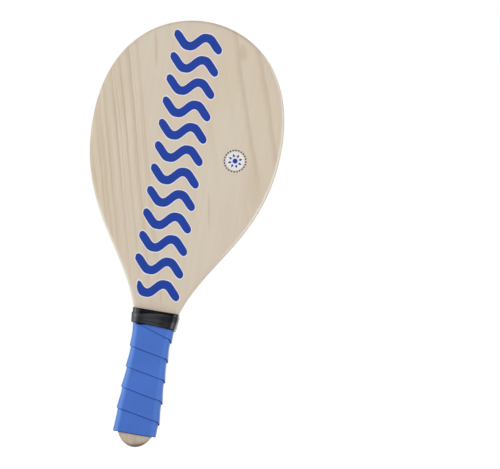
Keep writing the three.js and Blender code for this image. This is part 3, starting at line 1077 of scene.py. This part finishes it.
def ink_finish(name, shade):
    """Printed ink with the wood's fibres showing through a little."""
    finish = Finish(name)
    fibre = finish.cloud(*FIBRES)
    slow = finish.cloud((60, 0, 12))
    base = Vector(shade)
    finish.start(finish.ramp(fibre, 0.3, 0.75, 0.0, 0.55), base, base * 0.86)
    finish.tint(finish.ramp(slow, 0.35, 0.7, 0.0, 0.5), base * 1.07)
    finish.bump(fibre, 0.08 * MM, 0.3)
    return finish.done(finish.ramp(fibre, 0.2, 0.8, 0.42, 0.54), Specular_IOR_Level=0.24)


# Operators


class PieceOperator:
    """What the operators that make pieces share."""

    bl_options = {"REGISTER", "UNDO"}

    def execute(self, context):
        scene = context.scene
        self.build(Outline(scene.racket_sizes), scene.racket_colours)
        return {"FINISHED"}


class RACKET_OT_blade(PieceOperator, bpy.types.Operator):
    """Make the five plies of the blade"""

    bl_idname = "racket.blade"
    bl_label = "Blade"

    def build(self, outline, colours):
        front = face_pine("front_pine", colours)
        back = face_pine("back_pine", colours, marks=False)
        cross = edge_pine("cross_pine", colours, colours.end_grain, END_PORES)
        core = edge_pine("core_pine", colours, colours.pine, LONG_PORES)
        for name, number, material, slot, node in (
            ("front_face_veneer", -2, front, "face_pine", "face_veneer_front"),
            ("front_crossband", -1, cross, "cross_pine", "crossband_front"),
            ("core_ply", 0, core, "core_pine", "core_veneer"),
            ("back_crossband", 1, cross, "cross_pine", "crossband_back"),
            ("back_face_veneer", 2, back, "face_pine", "face_veneer_back"),
        ):
            dress(ply_mesh(name, outline, number), material, slot, node)


class RACKET_OT_cheeks(PieceOperator, bpy.types.Operator):
    """Make the two cheeks on the handle"""

    bl_idname = "racket.cheeks"
    bl_label = "Handle Cheeks"

    def build(self, outline, colours):
        material = cheek_pine("handle_pine", colours)
        for name, side, node in (
            ("front_cheek", -1, "handle_cheek_front"),
            ("back_cheek", 1, "handle_cheek_back"),
        ):
            dress(cheek_mesh(name, outline, side), material, "handle_pine", node)


class RACKET_OT_grip(PieceOperator, bpy.types.Operator):
    """Wind the foam grip tape up the handle"""

    bl_idname = "racket.grip"
    bl_label = "Grip Tape"

    def build(self, outline, colours):
        tape = GripTape(outline, outline.sizes.waist_height)
        piece = tape.wind("grip_winding", 0.0, tape.TURNS)
        dress(piece, grip_foam("grip_foam", colours), "grip_foam", "grip_tape")


class RACKET_OT_finishing_tape(PieceOperator, bpy.types.Operator):
    """Wind the black finishing tape round the neck"""

    bl_idname = "racket.finishing_tape"
    bl_label = "Finishing Tape"

    def build(self, outline, colours):
        tape = BlackTape(outline, outline.sizes.band_bottom)
        piece = tape.wind("black_finishing_tape", tape.START, tape.START + tape.TURNS)
        dress(piece, black_vinyl("black_vinyl", colours), "black_vinyl", "finishing_tape")


class RACKET_OT_print(PieceOperator, bpy.types.Operator):
    """Print the waves and the small round mark on the front"""

    bl_idname = "racket.print"
    bl_label = "Print"

    RIM = 0.9 * MM
    FILM, INK = 0.04 * MM, 0.05 * MM
    MARK_PLACE = Vector((55, 309.5)) * MM

    def build(self, outline, colours):
        lower = outline.sizes.hand_height
        film = (-outline.blade_half, self.FILM)
        on_film = (-outline.blade_half - self.FILM, self.INK)
        waves, mark = WavePrint(outline), RoundMark()
        centre = self.MARK_PLACE - Vector((0, lower))
        primer = ink_finish("pale_primer", colours.primer)
        ink = ink_finish("blue_ink", colours.ink)
        dark = ink_finish("dark_ink", colours.mark_ink)
        for name, shells, material in (
            ("wave_primer", strips(waves.runs(self.RIM), lower, *film), primer),
            ("wave_lines", strips(waves.runs(0.0), lower, *on_film), ink),
            ("mark_disc", slabs(mark.disc(), centre, *film), primer),
            ("mark_ring", slabs(mark.ring(outline.sizes.mark_radius), centre, *film), dark),
            ("mark_rays", slabs(mark.rays(), centre, *on_film), ink),
        ):
            dress(shell_piece(name, shells), material, "print_ink")


class RACKET_OT_stage(bpy.types.Operator):
    """Make the pale floor, the studio light and the camera"""

    bl_idname = "racket.stage"
    bl_label = "Stage"

    LENS, SENSOR = 180.0, 36.0
    CAMERA = Vector((0.30843, -2.57829, -0.0414))
    FORWARD = Vector((-0.08688, 0.99299, 0.0802))
    UP = Vector((-0.16112, -0.09345, 0.9825))
    # Each lamp's name, place, width and height, and power
    LAMPS = (
        ("front_lamp", (-0.6, -2.6, 1.4), (0.9, 0.9), 6.5),
        ("left_lamp", (-1.6, -1.2, 0.35), (2.4, 0.9), 21.5),
        ("right_lamp", (1.7, -0.9, 0.35), (1.5, 0.9), 13.5),
        ("back_lamp", (0.6, 2.4, 1.5), (1.6, 1.6), 44.0),
    )
    LAMP_AIM = Vector((0, 0, 0.15))
    FLOOR_HALF, FLOOR_GAP = 9.0, 0.1 * MM
    SEEN_BY = ("Camera", "Transmission", "Glossy")
    WORLD_LEVEL = 0.3
    GLOW_FROM, GLOW_TO = 0.4, 2.0
    NEAR_GLOW, FAR_GLOW = 0.45, 0.8

    def execute(self, context):
        scene = context.scene
        self.make_floor(scene)
        self.make_world(scene)
        for name, place, size, power in self.LAMPS:
            self.make_lamp(scene, name, Vector(place), size, power)
        self.make_camera(scene)
        scene.view_settings.view_transform = "Standard"
        return {"FINISHED"}

    def make_floor(self, scene):
        """A wide floor at the butt's lowest point. The camera, a gloss or a glass sees a glow on it, which
        lights nothing else.
        """
        half, level = self.FLOOR_HALF, -scene.racket_sizes.hand_height - self.FLOOR_GAP
        mesh = bpy.data.meshes.new("studio_floor")
        corners = [(x * half, y * half, level) for x, y in ((-1, -1), (1, -1), (1, 1), (-1, 1))]
        mesh.from_pydata(corners, [], [(0, 1, 2, 3)])
        floor = bpy.data.objects.new("studio_floor", mesh)
        scene.collection.objects.link(floor)
        finish = Finish("pale_floor")
        pale = scene.racket_colours.floor
        finish.start(finish.ramp(finish.cloud((60, 60, 60)), 0.3, 0.7), Vector(pale) * 0.99, pale)
        finish.done(0.9, Specular_IOR_Level=0.0)
        away = finish.add("VectorMath", {0: finish.spot}, operation="LENGTH").outputs["Value"]
        strength = finish.ramp(away, self.GLOW_FROM, self.GLOW_TO, self.NEAR_GLOW, self.FAR_GLOW)
        glow = finish.add("Emission", {"Strength": strength})
        shown = finish.add("MixShader", {0: finish.rays(*self.SEEN_BY), 2: glow.outputs[0]})
        both = finish.add("AddShader", {0: finish.shader.outputs[0], 1: shown.outputs[0]})
        finish.links.new(both.outputs[0], finish.nodes["Material Output"].inputs[0])
        mesh.materials.append(finish.material)

    def make_world(self, scene):
        """White where the camera, a gloss or a glass sees it, and a plain level for the rest."""
        scene.world = bpy.data.worlds.new("studio")
        scene.world.use_nodes = True
        recipe = Recipe(scene.world.node_tree)
        level = recipe.line(recipe.rays(*self.SEEN_BY), 0.0, 1.0, self.WORLD_LEVEL, 1.0)
        background = recipe.nodes["Background"]
        recipe.put(background.inputs[0], (1, 1, 1, 1))
        recipe.put(background.inputs[1], level)

    def make_lamp(self, scene, name, place, size, power):
        """A soft lamp that looks at the racket's middle."""
        data = bpy.data.lights.new(name, "AREA")
        data.shape, data.energy = "RECTANGLE", power
        data.size, data.size_y = size
        lamp = bpy.data.objects.new(name, data)
        scene.collection.objects.link(lamp)
        lamp.location = place
        lamp.rotation_euler = (self.LAMP_AIM - place).to_track_quat("-Z", "Y").to_euler()

    def make_camera(self, scene):
        """A long lens, a little below the middle and to the right, rolled as the photograph is."""
        data = bpy.data.cameras.new("studio_camera")
        data.lens, data.sensor_width = self.LENS, self.SENSOR
        data.clip_start, data.clip_end = 0.1, 50.0
        camera = bpy.data.objects.new("studio_camera", data)
        scene.collection.objects.link(camera)
        back = -self.FORWARD.normalized()
        right = self.UP.cross(back).normalized()
        turned = Matrix((right, back.cross(right), back)).transposed()
        camera.matrix_world = Matrix.Translation(self.CAMERA) @ turned.to_4x4()
        scene.camera = camera


class RACKET_PT_panel(bpy.types.Panel):
    """The racket's sizes, colours and steps"""

    bl_idname = "RACKET_PT_panel"
    bl_label = "Frescobol Racket"
    bl_space_type = "VIEW_3D"
    bl_region_type = "UI"
    bl_category = "Racket"

    def draw(self, context):
        layout, scene = self.layout, context.scene
        for group, title in ((scene.racket_sizes, "Sizes"), (scene.racket_colours, "Colours")):
            box = layout.box()
            box.label(text=title)
            for key in group.bl_rna.properties.keys():
                if key not in ("rna_type", "name"):
                    box.prop(group, key)
        column = layout.column(align=True)
        for operator in OPERATORS:
            column.operator(operator.bl_idname)


OPERATORS = (
    RACKET_OT_stage,
    RACKET_OT_blade,
    RACKET_OT_cheeks,
    RACKET_OT_grip,
    RACKET_OT_finishing_tape,
    RACKET_OT_print,
)
CLASSES = (RacketSizes, RacketColours, *OPERATORS, RACKET_PT_panel)


def register():
    for cls in CLASSES:
        bpy.utils.register_class(cls)
    bpy.types.Scene.racket_sizes = bpy.props.PointerProperty(type=RacketSizes)
    bpy.types.Scene.racket_colours = bpy.props.PointerProperty(type=RacketColours)


def unregister():
    del bpy.types.Scene.racket_colours
    del bpy.types.Scene.racket_sizes
    for cls in reversed(CLASSES):
        bpy.utils.unregister_class(cls)


def main():
    """Registers the add-on and makes every piece in order."""
    register()
    bpy.ops.racket.stage()
    bpy.ops.racket.blade()
    bpy.ops.racket.cheeks()
    bpy.ops.racket.grip()
    bpy.ops.racket.finishing_tape()
    bpy.ops.racket.print()
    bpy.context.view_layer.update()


if __name__ == "__main__":
    main()
